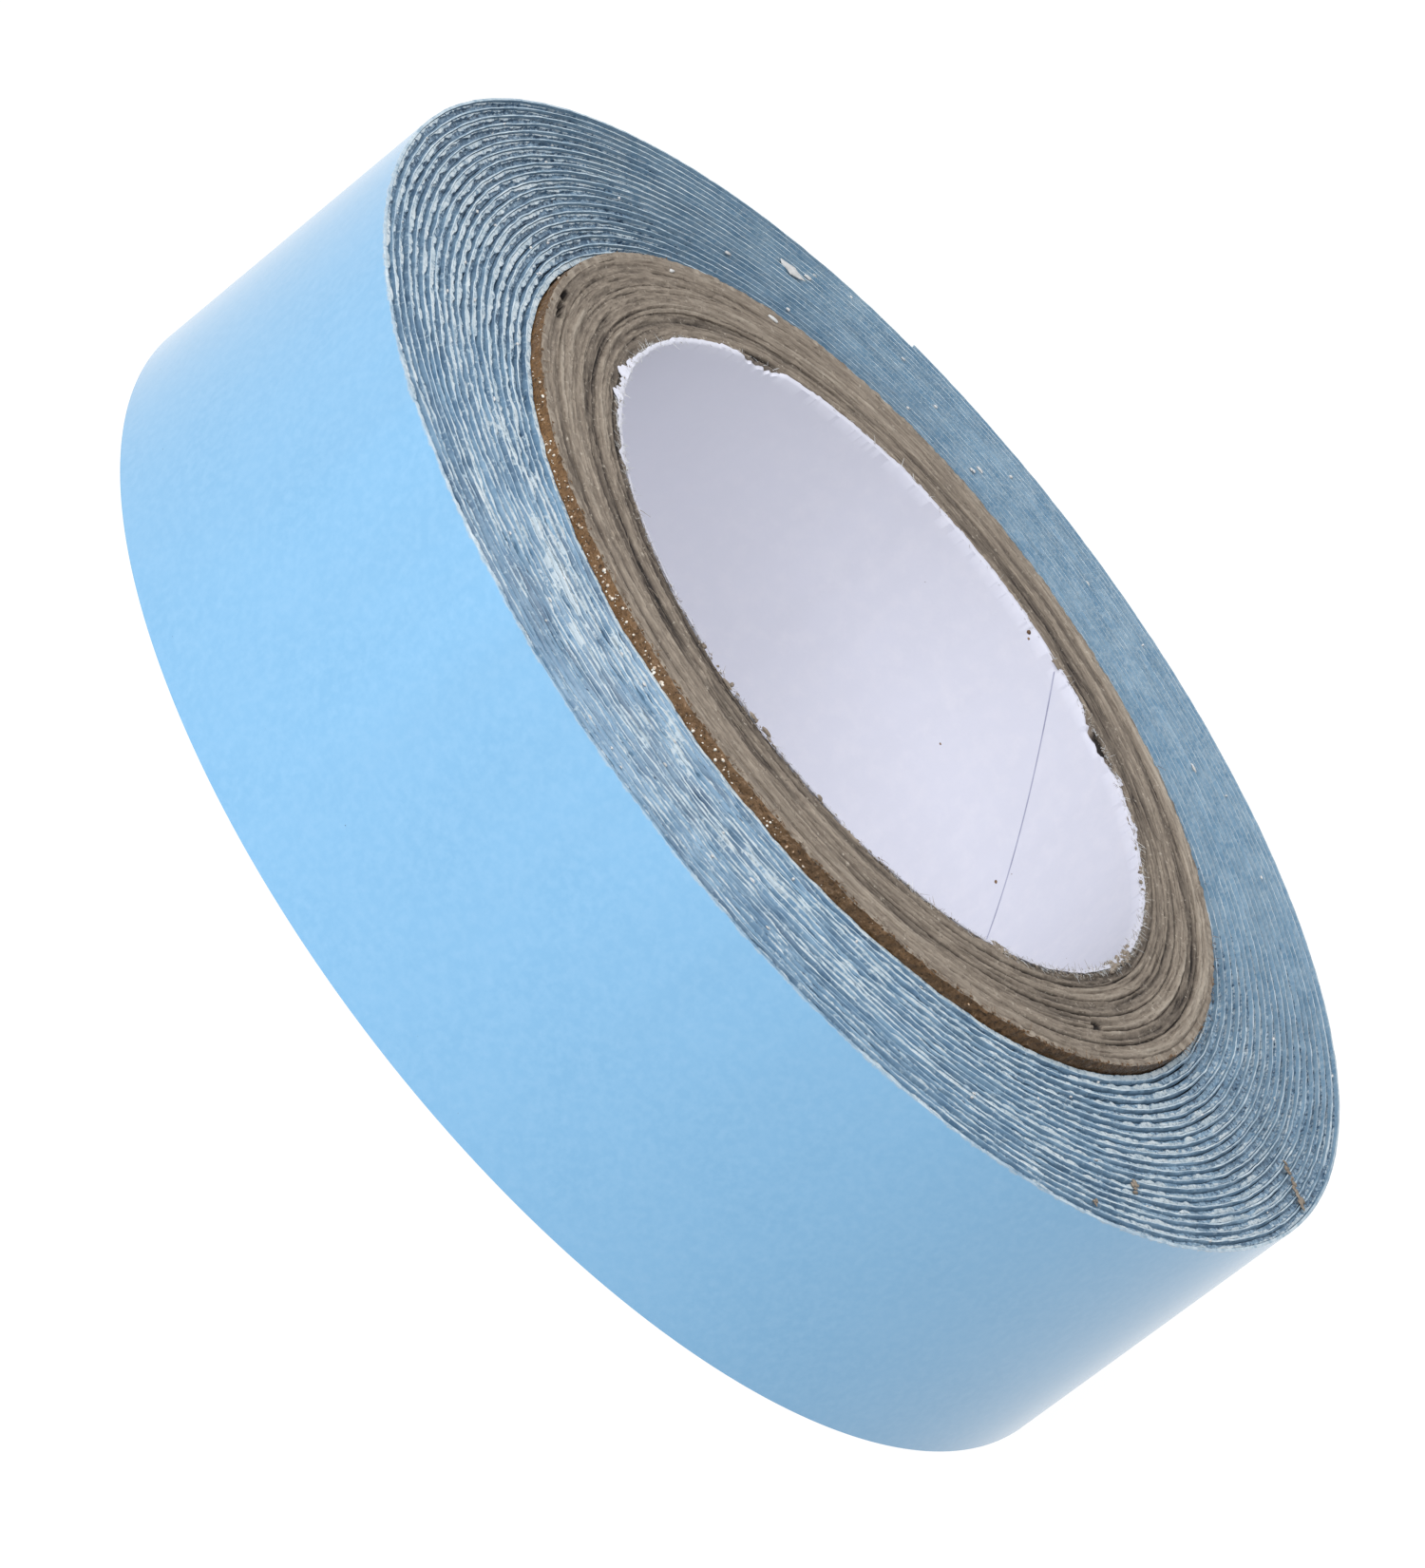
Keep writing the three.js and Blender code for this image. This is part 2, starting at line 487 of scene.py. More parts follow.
# The corners across each ply's cut end, and how much lighter or darker that end is, from the
# bore outwards.
PLY_CORNERS = 16
PLY_TONES = (-0.07, 0.03, -0.04, 0.06, -0.02, 0.05)

# How far the board's cut end may stand above its even height, in mm.
MAX_RISE = 0.08

# Grooves in the cut end of the board: radius, width and depth in mm.
BOARD_GROOVES = ((14.2, 0.08, 0.13), (13.55, 0.06, 0.07), (14.85, 0.06, 0.08), (15.4, 0.06, 0.06))

# Pits and raised flakes in it: angle in degrees, radius, half length, half width, height in mm.
# Those deeper than a crack's depth have steep walls.
CRACK_DEPTH = 1.0
BOARD_MARKS = (
    (190.4, 16.02, 0.50, 0.12, -1.50),
    (194.6, 15.92, 0.62, 0.13, -1.50),
    (338, 15.0, 0.35, 0.16, -0.45),
    (256, 13.9, 0.90, 0.32, 0.12),
    (342, 15.2, 0.55, 0.25, 0.08),
    (144, 12.98, 1.10, 0.16, -0.30),
    (56, 12.95, 1.30, 0.14, -0.20),
)


def board_height(angle, radius):
    """How far the cut end of the board stands above or below its even height, in mm."""
    millimetres = radius / MM
    row = millimetres - BOARD_INNER / MM
    height = 0.040 * noise_over_ring(angle, row * 5, 22, 20, 10)
    height += 0.036 * noise_over_ring(angle, row * 11, 60, 45, 11)
    height += 0.022 * noise_over_ring(angle, row * 22, 180, 90, 12)
    height += 0.016 * noise_over_ring(angle, row * 22, 720, 90, 13)
    for number, (centre, width, depth) in enumerate(BOARD_GROOVES):
        wander = 0.14 * noise_round(angle, 9, 20 + number)
        strength = 0.55 + 0.45 * noise_round(angle, 31, 30 + number)
        height -= depth * strength * hump(millimetres, centre + wander, width)
    for degrees, centre, half_length, half_width, rise in BOARD_MARKS:
        reach = math.degrees(half_length / centre)
        bent = centre + 0.08 * noise_round(angle, 180, 39)
        shape = angle_hump(angle, degrees, reach) * hump(millimetres, bent, half_width)
        steep = np.clip(6 * shape, 0, 1) if rise < -CRACK_DEPTH else np.sqrt(shape)
        height += rise * steep * (0.8 + 0.3 * noise_round(angle, 700, 40))
    return height


def give_ring_attributes(piece, points, tone_and_painted_light):
    """For the materials: true places, a grain drawn out round the ring, and a lightness from 0 to 1,
    which is a number or an array: each thing's tint, with painted light and shade on board and lining."""
    flat = points.reshape(-1, 3)
    radius = np.hypot(flat[:, 0], flat[:, 1])
    along = 15 * flat[:, :2].T / radius
    across = 11 * (radius + flat[:, 2]) / MM
    give_attribute(piece, "place", flat / MM)
    give_attribute(piece, "grain", np.vstack([along, across]).T)
    give_attribute(piece, "tone_and_painted_light", (np.zeros(points.shape[:-1]) + tone_and_painted_light).ravel())


def board_ply(number):
    """One ply of the core, with a rough cut end."""
    node = f"core_ply_{number}"
    inner, outer = node_radii(node)
    angle = RING_ANGLES
    across = np.linspace(outer + LAYER_GAP / 2, inner - LAYER_GAP / 2, PLY_CORNERS)[None, :]
    height = board_height(angle, across)
    edge = hump(across, inner, 0.06 * MM) + hump(across, outer, 0.06 * MM)
    edge_depth = 0.025 + 0.025 * noise_over_ring(angle, across * 0 + number, 240, 8, 60)
    edge_depth = edge_depth + 0.07 * angle_hump(angle, 335, 70)
    height = height - edge * edge_depth + 0.05 * noise_round(angle, 7, 70 + number) - 0.03
    top = CORE_TOP + np.minimum(height, MAX_RISE) * MM
    # Corners this far below the rough end keep it from shading the walls.
    shelf = CORE_TOP - 0.8 * MM
    points = section_points(angle, [inner, outer, outer, across, inner], [0, 0, shelf, top, shelf])
    piece = sweep(f"board_ply_{number}", points, True, [BOARD])
    tone_and_painted_light = np.full(points.shape[:2], 0.45)
    # This follows the height of the cut end: painted shade where it lies lower, lighter where it is
    # higher, plus each ply's own tint.
    tone_and_painted_light[:, 3:-1] = np.clip(0.54 + height * 4.2 + PLY_TONES[number - 1], 0, 1)
    give_ring_attributes(piece, points, tone_and_painted_light)
    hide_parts(node)
    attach(piece, "roll")


# Heights of the corners of the kraft ply's outside in mm, closest where it stands out of the tape.
KRAFT_WALL = (0, 0, 10.9, 11.9, 12.05, 12.17, 12.29, 12.41)


def kraft_ply():
    """The kraft paper on the outside of the core."""
    inner, outer = node_radii("kraft_ply")
    angle = RING_ANGLES
    wall = np.array([KRAFT_WALL]) * MM
    wall_row = np.arange(wall.shape[1])[None, :]
    rough = 0.022 * noise_over_ring(angle, wall_row, 420, 8, 80)
    rough += 0.015 * noise_over_ring(angle, wall_row, 1100, 8, 81)
    rough = rough * (1 + 1.2 * angle_hump(angle, 300, 60))
    wall_radius = outer - 0.02 * MM + rough * MM * (wall > 0)
    wall_radius[:, 0] = inner
    rim_wear = 0.03 - 0.03 * noise_round(angle, 300, 82) - 0.02 * noise_round(angle, 800, 83)
    rim = CORE_TOP - rim_wear * MM
    rim_radius = np.array([[outer - 0.04 * MM, outer - 0.12 * MM, inner - 0.03 * MM, inner]])
    rim_drop = np.array([[0.02, 0.0, 0.02, 0.9]]) * MM
    points = section_points(angle, [wall_radius, rim_radius], [wall, rim - rim_drop])
    sides = np.zeros(points.shape[1], int)
    sides[wall.shape[1]:] = 1
    piece = sweep("kraft_wrap", points, True, [KRAFT, BOARD], sides)
    tone_and_painted_light = np.full(points.shape[:2], 0.25)
    # The wall is darker round the roll away from 225 degrees.
    tone_and_painted_light += 0.75 * angle_hump(angle, 225, 75) + 0.2 * noise_round(angle, 60, 85)
    tone_and_painted_light[:, wall.shape[1]:] = 0.58 + 0.2 * noise_round(angle, 500, 84)
    give_ring_attributes(piece, points, tone_and_painted_light)
    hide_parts("kraft_ply")
    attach(piece, "roll")


def bore_lining():
    """The white paper in the bore. Its torn rim spreads onto the board in places."""
    inner, outer = node_radii("bore_lining")
    angle = RING_ANGLES
    torn = 0.5 + 0.5 * noise_round(angle, 100, 90)
    fine = 0.5 + 0.5 * noise_round(angle, 470, 91)
    ragged = (0.3 + 0.7 * torn) * (0.3 + 0.7 * fine)
    spread = 0.02 + 0.10 * ragged
    spread += 0.42 * angle_hump(angle, 198, 22) * ragged
    spread += 0.22 * angle_hump(angle, 217, 2.5) * (0.5 + 0.5 * fine)
    spikes = np.maximum(noise_round(angle, 190, 92), 0) ** 2
    spread += 0.45 * spikes * angle_hump(angle, 52, 22)
    bare = np.clip(angle_hump(angle, 144, 6) * 2 + angle_hump(angle, 57, 8) * 1.5, 0, 1)
    bare = np.maximum(bare, 0.6 * angle_hump(angle, 262, 48) * (noise_round(angle, 75, 93) > 0.1))
    spread = spread * (1 - bare) * MM
    drop = -0.015 + 0.03 * (1 - ragged) + 0.30 * bare * (0.4 + 0.6 * fine)
    rim = CORE_TOP - drop * MM
    fold = outer - 0.05 * MM
    worn = (0.02 + 0.09 * fine * (0.4 + 0.6 * torn)) * MM
    shelf = CORE_TOP - 0.5 * MM
    radii = [inner, outer, outer, outer + spread, outer + spread, fold, inner, inner, inner]
    heights = [0, 0, rim - 0.06 * MM, rim, rim + 0.03 * MM, rim + 0.02 * MM, rim - worn]
    heights += [shelf, shelf - 0.5 * MM]
    points = section_points(angle, radii, heights)
    piece = sweep("paper_lining", points, True, [WHITE_PAPER])
    # Painted light: the lining is paler round 180 degrees, for the light the real bore gets there.
    give_ring_attributes(piece, points, 0.5 + 0.5 * angle_hump(angle, 180, 85))
    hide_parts("bore_lining")
    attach(piece, "roll")


SEAM_START_DEGREES = -10
SEAM_SWEEP_DEGREES = 82
SEAM_CURVE = 1.45
SEAM_WIDTH = 0.076 * MM


def lining_seam():
    """The seam of the lining: a thin line that climbs round the bore, ever steeper."""
    radius = node_radii("bore_lining")[0]
    share = np.linspace(0.02, 0.99, 160)[:, None]
    angle = np.radians(SEAM_START_DEGREES + SEAM_SWEEP_DEGREES * share)
    middle = CORE_TOP * share ** SEAM_CURVE
    half_width = SEAM_WIDTH / 2
    inner, outer = radius - 0.003 * MM, radius + 0.010 * MM
    down, up = middle - half_width, middle + half_width
    points = section_points(angle, [inner, outer, outer, inner], [down, down, up, up])[::-1]
    piece = sweep("lining_seam", points, False, [SEAM])
    give_ring_attributes(piece, points, 0.5)
    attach(piece, "roll")


# ---------- the winding

SAMPLES_PER_TURN = 1440
EDGE_ZONE = 0.3 * MM
CREST_WIDTH = 0.045 * MM

# The strips start behind the core's rim. The inner wraps hug the core and step over that start
# in the last part of each turn from it. The steps fade away outwards.
WINDING_START = 0.25
STEP_START = 0.85
STEP_FADE_TURNS = 6

# Rows of noise across the end face that give each wrap about one row of its own.
WRAPS_PER_MM = 3.03

# The cut edges vary round the roll. The blade tore them on the side near 260 degrees, the gaps
# get their darkest painted shade near 190 degrees, and adhesive is smeared near 260 and 125 degrees.


def samples(start, end):
    """Places along the strips, in turns, from start to end with both ends included."""
    first = round(start * SAMPLES_PER_TURN)
    last = round(end * SAMPLES_PER_TURN)
    return np.arange(first, last + 1)[:, None] / SAMPLES_PER_TURN


def winding_angle(turns):
    return START_ANGLE + turns * FULL_TURN


def winding_radius(turns):
    """The inner radius of the tape."""
    whole = np.floor(turns - WINDING_START)
    part = turns - WINDING_START - whole
    step = eased(np.clip((part - STEP_START) / (1 - STEP_START), 0, 1))
    hugging = np.exp(-whole / STEP_FADE_TURNS)
    return TAPE_START + WRAP_PITCH * (turns + (whole + step - turns) * hugging)


def face_place(turns):
    """Where the strips are on the roll's end face: the angle, from 0 to a full turn, and the row
    in mm outwards from the innermost wrap."""
    angle = winding_angle(turns) % FULL_TURN
    return angle, (winding_radius(turns) - TAPE_START) / MM


def liner_top(turns):
    """The height of the liner's cut edge. It wanders most where the blade tore it."""
    angle, _ = face_place(turns)
    wander = 0.016 * noise_along(turns * 7.3, 100)
    torn = 0.020 * noise_along(turns * 27.1, 106) + 0.022 * noise_along(turns * 63.7, 107)
    jag = 0.007 * noise_along(turns * 310, 101) + 0.004 * noise_along(turns * 790, 102)
    return TAPE_TOP + (wander + torn * angle_hump(angle, 258, 90) + jag - 0.02) * MM


def smear(turns):
    """How much adhesive has spread over the cut edges, from 0 to 1. It did so on two sides."""
    angle, row = face_place(turns)
    patchy = 0.9 * noise_over_ring(angle, row * 1.9, 80, 18, 111)
    patchy += 0.5 * noise_over_ring(angle, row * WRAPS_PER_MM, 230, 24, 112)
    near = angle_hump(angle, 258, 66) * hump(row, 2.0, 2.6) * (0.34 + patchy)
    far = angle_hump(angle, 122, 42) * np.clip((row - 1.5) / 2, 0, 1) * (0.75 + patchy)
    return np.clip(np.maximum(near, far), 0, 1)


def nearness(turns):
    """1 where the blade tore the tape's edge and left it high, 0 where it sank the edge."""
    angle, _ = face_place(turns)
    return np.clip(3 * angle_hump(angle, 266, 132), 0, 1)


def lean(turns):
    """How far the cut edges lean outwards, in mm. Neighbouring wraps lean together."""
    angle, row = face_place(turns)
    strength = 0.030 + 0.085 * angle_hump(angle, 262, 80)
    together = noise_over_ring(angle, row * 2.2, 64, 18, 140)
    alone = noise_over_ring(angle, row * WRAPS_PER_MM, 150, 24, 141)
    jag = 0.010 * noise_along(turns * 283.1, 142)
    outermost = hump(turns, WOUND_TURNS + 1, 3)
    return (strength * (0.7 * together + 0.6 * alone) + jag) * (1 - outermost)


def paleness(turns):
    """How pale the cut edges are, from 0 to 1, in patches that reach over several wraps."""
    angle, row = face_place(turns)
    patch = noise_over_ring(angle, row * 1.6, 44, 14, 150)
    streak = noise_over_ring(angle, row * WRAPS_PER_MM, 110, 24, 151)
    near_side = angle_hump(angle, 264, 70)
    outer_rows = np.clip((row - 4.2) / 1.2, 0, 1)
    pale = 0.80 + 0.25 * patch + 0.25 * streak - 0.20 * angle_hump(angle, 128, 50)
    pale -= near_side * (0.34 + 0.32 * outer_rows - 0.42 * patch - 0.42 * streak)
    return np.clip(pale + 0.8 * smear(turns), 0, 1)


def torn_width(turns):
    """How wide the pale torn part of the tape's edge is, in mm, measured from its liner."""
    angle, row = face_place(turns)
    near = nearness(turns)
    patch = noise_over_ring(angle, row * 2.2, 46, 18, 119)
    arch = noise_along(turns * 52.3, 120)
    tooth = noise_along(turns * 231.7, 121)
    jag = noise_along(turns * 521.1, 122)
    ragged = 0.035 * arch + 0.058 * tooth + 0.045 * jag + 0.045 * patch
    block = np.clip(5 * (noise_over_ring(angle, row * WRAPS_PER_MM, 70, 24, 123) - 0.42), 0, 1)
    ragged = ragged + 0.09 * block
    beside_core = np.clip((1.05 + WINDING_START - turns) / 0.1, 0, 1)
    width = 0.010 + 0.065 * near + 0.030 * angle_hump(angle, 184, 42) + 0.2 * beside_core
    width += ragged * (0.3 + 0.7 * near) + 0.09 * smear(turns)
    return np.clip(width, 0.008, 0.19)


def stain_and_gap_shade(turns):
    """How much painted shade darkens the gaps between the wraps, from 0 to 1. It is darkest on one
    side, and runs in short dark streaks on the side that the blade tore."""
    angle, row = face_place(turns)
    dark = 0.38 + 0.62 * angle_hump(angle, 190, 60) - 0.45 * angle_hump(angle, 126, 50)
    dark += 0.3 * noise_over_ring(angle, row * 1.5, 40, 14, 160)
    dark += 0.9 * angle_hump(angle, 258, 75) * noise_over_ring(angle, row * WRAPS_PER_MM, 76, 24, 161)
    return np.clip(dark, 0, 1)


def liner_piece(name, start, end, face=1):
    """A stretch of the liner. face is the material number of its outside."""
    turns = samples(start, end)
    inner = winding_radius(turns) + LINER_OFFSET
    outer = inner + LINER_THICKNESS
    shift = lean(turns) * MM
    crest = inner + CREST_WIDTH * (1 + 0.35 * noise_along(turns * 190, 104))
    top = liner_top(turns)
    bevel_depth = 0.020 if face == 0 else 0.075 + 0.035 * noise_along(turns * 410, 105)
    bevel = top - bevel_depth * MM
    low = TAPE_TOP - EDGE_ZONE
    radii = [inner, outer, outer, outer, outer + shift, crest + shift, inner + shift, inner, inner]
    heights = [0, 0, EDGE_ZONE, low, bevel, top - 0.004 * MM, top, low, EDGE_ZONE]
    points = section_points(winding_angle(turns), radii, heights)
    outward, slope = (0, 2) if face == 0 else (3, 3)
    sides = np.array([2, face, outward, outward, slope, 2, 1, 1, 1])
    piece = sweep(name, points, False, [LINER_FACE, LINER_EDGE, LINER_CUT, LINER_GROOVE_SHADE], sides)
    give_attribute(piece, "place", points.reshape(-1, 3) / MM)
    all_corners = np.zeros(points.shape[:2])
    for kind, values in (("pale", paleness(turns)), ("stain_and_gap_shade", stain_and_gap_shade(turns)), ("smear", smear(turns))):
        give_attribute(piece, kind, (all_corners + values).ravel())
    give_attribute(piece, "below_top", ((top[:, :, None] - points[:, :, 2:]) / MM).ravel())
    return piece


def adhesive_piece(name, start, end):
    """A stretch of the adhesive tape. Its edge is torn: it stands up beside its own liner, and
    leaves a groove of uneven width and depth beside the wrap inside it."""
    turns = samples(start, end)
    inner = winding_radius(turns)
    outer = inner + ADHESIVE_THICKNESS
    width = torn_width(turns)
    near = nearness(turns)
    shift = lean(turns) * MM
    crest = liner_top(turns)
    angle, row = face_place(turns)
    sunk = 0.13 * (1 - near)
    patch = noise_over_ring(angle, row * 2.5, 90, 20, 133)
    lip_drop = 0.020 + sunk + 0.014 * noise_along(turns * 333, 130) - 0.016 * smear(turns)
    groove = 0.125 + sunk + 0.045 * patch + 0.030 * noise_along(turns * 343, 132) - 0.09 * smear(turns)
    groove = np.maximum(groove, lip_drop + 0.02)
    beside = crest - (0.045 + sunk) * MM
    pale_edge = outer - 0.028 * MM
    lip = outer - width * MM
    foot = np.maximum(lip - 0.018 * MM, inner + 0.004 * MM)
    low = TAPE_TOP - EDGE_ZONE
    floor = crest - groove * MM
    lip = np.minimum(lip, pale_edge - 0.004 * MM)
    leaning = [outer + shift, pale_edge + shift, lip + shift, foot + shift, inner + shift]
    radii = [inner, outer, outer] + leaning + [inner]
    top = crest - lip_drop * MM
    heights = [0, 0, low, beside, top, top, floor + 0.015 * MM, floor, low]
    points = section_points(winding_angle(turns), radii, heights)
    piece = sweep(name, points, False, [ADHESIVE])
    give_attribute(piece, "place", points.reshape(-1, 3) / MM)
    crest_torn = (width - 0.02) / 0.05
    floor_torn = -0.8 - (ADHESIVE_THICKNESS / MM - width) / 0.05
    # Low values beside the crest and on the groove's floor give the darker clear colour there as
    # painted shade; high ones mark the pale torn tissue.
    torn = columns(turns, [6, 6, -3, -0.6, crest_torn, 0.2, -0.8, floor_torn, 6])
    torn += 1.6 * (paleness(turns) - 0.75) + 3.2 * smear(turns)
    give_attribute(piece, "torn", np.clip(torn, -3, 3).ravel())
    # The painted shade of the gaps between the wraps.
    give_attribute(piece, "stain_and_gap_shade", (0 * torn + stain_and_gap_shade(turns)).ravel())
    return piece


def wound_part():
    """The wraps that stay on the roll, in stretches of a few turns each."""
    bounds = (WINDING_START, 5, 10, 15, WOUND_TURNS - 1)
    for number, (start, end) in enumerate(zip(bounds, bounds[1:]), 1):
        piece = liner_piece(f"liner_wraps_{number}", start, end)
        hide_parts("release_liner")
        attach(piece, "roll")
    outer_wrap = liner_piece("liner_outer_wrap", WOUND_TURNS - 1, WOUND_TURNS, face=0)
    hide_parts("release_liner")
    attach(outer_wrap, "roll")
    bounds = (WINDING_START, 5, 10, 15, WOUND_TURNS)
    for number, (start, end) in enumerate(zip(bounds, bounds[1:]), 1):
        piece = adhesive_piece(f"adhesive_wraps_{number}", start, end)
        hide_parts("adhesive_tape")
        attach(piece, "roll")


def place_on_liner(turns):
    radius = winding_radius(turns) + LINER_OFFSET + LINER_THICKNESS
    angle = winding_angle(turns)
    return (radius * math.cos(angle), radius * math.sin(angle), TAPE_TOP / 2)


def bend(piece, body_before, body, start, end):
    """Bakes the placement of a piece of the free end into its mesh."""
    place_on_liner(start)
    place_on_liner((start + end) / 2)
    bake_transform(piece)


def free_end():
    """The end of the tape and liner that peels off, one piece for each of its bodies."""
    for number in range(1, END_PIECES + 1):
        start = WOUND_TURNS + (number - 1) * END_PIECE_TURNS
        end = start + END_PIECE_TURNS
        body = f"tape_end_{number}"
        body_before = f"tape_end_{number - 1}" if number > 1 else "roll"
        adhesive = adhesive_piece(f"adhesive_tail_{number}", start, end)
        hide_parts(f"adhesive_end_{number}")
        bend(adhesive, body_before, body, start, end)
        liner = liner_piece(f"liner_tail_{number}", start, min(end, TAB_START), face=0)
        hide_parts(f"liner_end_{number}")
        bend(liner, body_before, body, start, end)
    tab = liner_piece("liner_tail_tab", TAB_START, STRIP_END, face=0)
    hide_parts("liner_tab")
    bend(tab, f"tape_end_{END_PIECES}", "liner_tab", TAB_START, STRIP_END)


# ---------- small loose things

LUMP_RINGS = 4
LUMP_SIDES = 10
FIBRE_STEPS = 6
FIBRE_SIDES = 3
GLUE_BEAD_COUNT = 210
LYING_FIBRE_COUNT = 420
TINY_CHIP_COUNT = 70


def at(degrees, radius, height):
    """A point from an angle round the roll in degrees, and a radius and a height in metres."""
    angle = math.radians(degrees)
    return np.array([radius * math.cos(angle), radius * math.sin(angle), height])


def axes_at(degrees):
    """Unit vectors along the roll's edge, outwards and up, at an angle round the roll."""
    return np.array([at(degrees + 90, 1, 0), at(degrees, 1, 0), (0, 0, 1)])


def lump(degrees, radius, height, half_sizes, random, raggedness=0.35):
    """A rounded lump, as points and faces. half_sizes, in mm, are along the roll's edge,
    outwards and up. The outline is ragged by a share of its size."""
    polar = np.arange(1, LUMP_RINGS + 1)[:, None] / (LUMP_RINGS + 1) * math.pi
    turn = np.arange(LUMP_SIDES)[None, :] / LUMP_SIDES * FULL_TURN
    reach = np.sin(polar) * (1 + raggedness * random.uniform(-1, 1, LUMP_SIDES))
    rings = np.stack([reach * np.cos(turn), reach * np.sin(turn), np.cos(polar) + 0 * turn], axis=-1)
    shape = np.concatenate([[[0, 0, 1]], rings.reshape(-1, 3), [[0, 0, -1]]])
    points = at(degrees, radius, height) + (shape * half_sizes * MM) @ axes_at(degrees)
    faces = []
    last = len(points) - 1
    for side in range(LUMP_SIDES):
        after = (side + 1) % LUMP_SIDES
        faces.append([0, 1 + side, 1 + after])
        for ring in range(LUMP_RINGS - 1):
            upper, lower = 1 + ring * LUMP_SIDES, 1 + (ring + 1) * LUMP_SIDES
            faces.append([upper + side, lower + side, lower + after, upper + after])
        lowest = 1 + (LUMP_RINGS - 1) * LUMP_SIDES
        faces.append([last, lowest + after, lowest + side])
    return points, faces


def fibre(start, direction, length, thickness, random):
    """A thin bent fibre, as points and faces."""
    direction = direction / np.linalg.norm(direction)
    share = np.linspace(0, 1, FIBRE_STEPS)[:, None]
    bend = random.normal(0, 0.35, 3) * (1, 1, 0.3) * length
    spine = start + direction * length * share + bend * share ** 2
    side = np.cross(direction, (0.31, 0.22, 0.93))
    side = side / np.linalg.norm(side)
    rise = np.cross(direction, side)
    turn = np.arange(FIBRE_SIDES) / FIBRE_SIDES * FULL_TURN
    ring = np.cos(turn)[:, None] * side + np.sin(turn)[:, None] * rise
    points = (spine[:, None, :] + thickness * (1 - 0.6 * share[:, :, None]) * ring).reshape(-1, 3)
    faces = [list(range(FIBRE_SIDES))[::-1]]
    for step in range(FIBRE_STEPS - 1):
        for corner in range(FIBRE_SIDES):
            after = (corner + 1) % FIBRE_SIDES
            low, high = step * FIBRE_SIDES, (step + 1) * FIBRE_SIDES
            faces.append([low + corner, low + after, high + after, high + corner])
    faces.append([(FIBRE_STEPS - 1) * FIBRE_SIDES + corner for corner in range(FIBRE_SIDES)])
    return points, faces


def loose_piece(name, shapes, material, slot):
    """One piece made of many small closed shapes, each given as its points and faces."""
    faces = []
    first = 0
    for shape_points, shape_faces in shapes:
        faces += [[first + corner for corner in face] for face in shape_faces]
        first += len(shape_points)
    points = np.concatenate([shape_points for shape_points, _ in shapes])
    mesh = bpy.data.meshes.new(name)
    mesh.from_pydata(points.tolist(), [], faces)
    piece = finish_mesh(name, mesh, [material])
    give_ring_attributes(piece, points, 0.5)
    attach(piece, "roll")


def glue_beads():
    """Glossy beads of dried adhesive on the kraft wall, thickest on one side."""
    random = np.random.default_rng(300)
    wall = node_radii("kraft_ply")[1] - 0.01 * MM
    shapes = []
    for _ in range(GLUE_BEAD_COUNT):
        degrees = random.normal(245, 22)
        height = TAPE_TOP + (0.02 + 0.34 * random.uniform() ** 2.2) * MM
        half_sizes = (0.014 + 0.042 * random.uniform() ** 3) * random.uniform(0.7, 1.5, 3)
        shapes.append(lump(degrees, wall, height, half_sizes, random, 0.15))
    loose_piece("glue_beads", shapes, GLUE_BEAD, "kraft_paper")


# Where crumbs and fibres stand on the core's rims, in tufts: the angle of each in degrees, how
# far it spreads in degrees, and how many there are in it.
KRAFT_CRUMBS = ((285, 45, 190),)
BOARD_CRUMBS = ((290, 50, 240), (38, 26, 130), (97, 9, 40))
FLAKES = ((320.6, 1.1, 22), (354.5, 1.6, 26), (1.0, 1.8, 16), (262, 12, 14), (36, 7, 14), (73, 1, 5))
KRAFT_FIBRES = ((295, 45, 420),)
BOARD_FIBRES = ((335, 60, 620), (45, 30, 300))
WHITE_FIBRES = (
    (200, 17, 330),
    (217, 2, 60),
    (320.6, 1.6, 60),
    (340, 16, 150),
    (356, 5, 150),
    (15, 14, 260),
    (52, 14, 160),
    (300, 3, 45),
    (180, 180, 240),
)


def scattered(tufts, random):
    """Angles in degrees, one for each crumb or fibre of the tufts."""
    for centre, spread, count in tufts:
        for _ in range(count):
            yield random.normal(centre, spread)


def crumbs(name, tufts, rim, offsets, sizes, look, seed):
    """Crumbs on the rim of the core at radius rim. Ranges in mm: offsets says how far they are
    outwards from it, and sizes gives their half sizes. look is a material and a slot."""
    random = np.random.default_rng(seed)
    shapes = []
    for degrees in scattered(tufts, random):
        radius = rim + random.uniform(*offsets) * MM
        height = CORE_TOP + random.uniform(-0.04, 0.03) * MM
        half_sizes = random.uniform(*sizes, 3) * (1.5, 1.0, 0.6)
        shapes.append(lump(degrees, radius, height, half_sizes, random))
    loose_piece(name, shapes, *look)


def fuzz(name, tufts, rim, offsets, leaning, look, seed):
    """Fibres that stand out of the core at radius rim and lie nearly flat. offsets, in mm, says
    how far outwards from it they start, and leaning how much they point outwards. look is a
    material and a slot."""
    random = np.random.default_rng(seed)
    shapes = []
    for degrees in scattered(tufts, random):
        axes = axes_at(degrees)
        direction = random.normal(0, 0.8, 3) @ axes + axes[1] * random.uniform(*leaning)
        direction[2] = 0.3 * abs(direction[2])
        radius = rim + random.uniform(*offsets) * MM
        start = at(degrees, radius, CORE_TOP + random.uniform(-0.06, 0.02) * MM)
        length = random.uniform(0.07, 0.30) * MM
        thickness = random.uniform(0.006, 0.014) * MM
        shapes.append(fibre(start, direction, length, thickness, random))
    loose_piece(name, shapes, *look)


